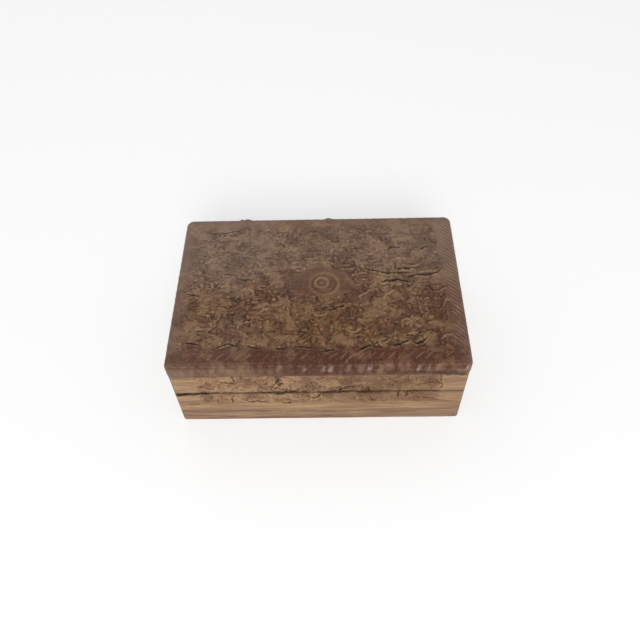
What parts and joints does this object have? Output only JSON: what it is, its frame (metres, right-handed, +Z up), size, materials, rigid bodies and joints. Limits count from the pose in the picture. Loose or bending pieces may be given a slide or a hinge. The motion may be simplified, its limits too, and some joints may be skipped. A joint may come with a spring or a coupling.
{
  "type": "carved wooden box",
  "caption": "Hinged-lid wooden box of mitred boards, with a leaf-carved top in a rope border, carved front and ends, and brass butt hinges let into the back rims.",
  "frame": {"origin": "middle of the underside, on the surface that the box stands on", "axes": "+X along the length towards the right-hand end as the front is faced, +Y towards the hinges at the back, +Z up"},
  "size_m": [0.2, 0.135, 0.07],
  "materials": {
    "dark_heartwood": "worn, hand-carved and waxed, dark reddish brown",
    "pale_sapwood": "worn, hand-carved and waxed, golden brown with darker streaks",
    "plain_board": "plain, unpolished",
    "brass": "dull, aged",
    "steel": "dull"
  },
  "bodies": {
    "base": {"base_back_wall": "pale_sapwood", "base_front_wall": "pale_sapwood", "base_left_wall": "pale_sapwood", "base_right_wall": "pale_sapwood", "bottom_board": "plain_board", "bottom_panel_pin_1": "steel", "bottom_panel_pin_2": "steel", "bottom_panel_pin_3": "steel", "bottom_panel_pin_4": "steel", "bottom_panel_pin_5": "steel", "bottom_panel_pin_6": "steel", "left_hinge_base_leaf": "brass", "left_hinge_base_screw_1": "brass", "left_hinge_base_screw_2": "brass", "left_hinge_pin": "steel", "right_hinge_base_leaf": "brass", "right_hinge_base_screw_1": "brass", "right_hinge_base_screw_2": "brass", "right_hinge_pin": "steel"},
    "lid": {"left_hinge_lid_leaf": "brass", "left_hinge_lid_screw_1": "brass", "left_hinge_lid_screw_2": "brass", "lid_back_rail": "pale_sapwood", "lid_front_rail": "pale_sapwood", "lid_left_rail": "pale_sapwood", "lid_right_rail": "pale_sapwood", "lid_top_board": "dark_heartwood", "right_hinge_lid_leaf": "brass", "right_hinge_lid_screw_1": "brass", "right_hinge_lid_screw_2": "brass"}
  },
  "joints": [
    {"name": "lid_hinge", "type": "hinge", "parent": "base", "child": "lid", "pos_m": [0, 0.0642, 0.036], "axis": [-1, 0, 0], "range_deg": [0, 100]}
  ]
}
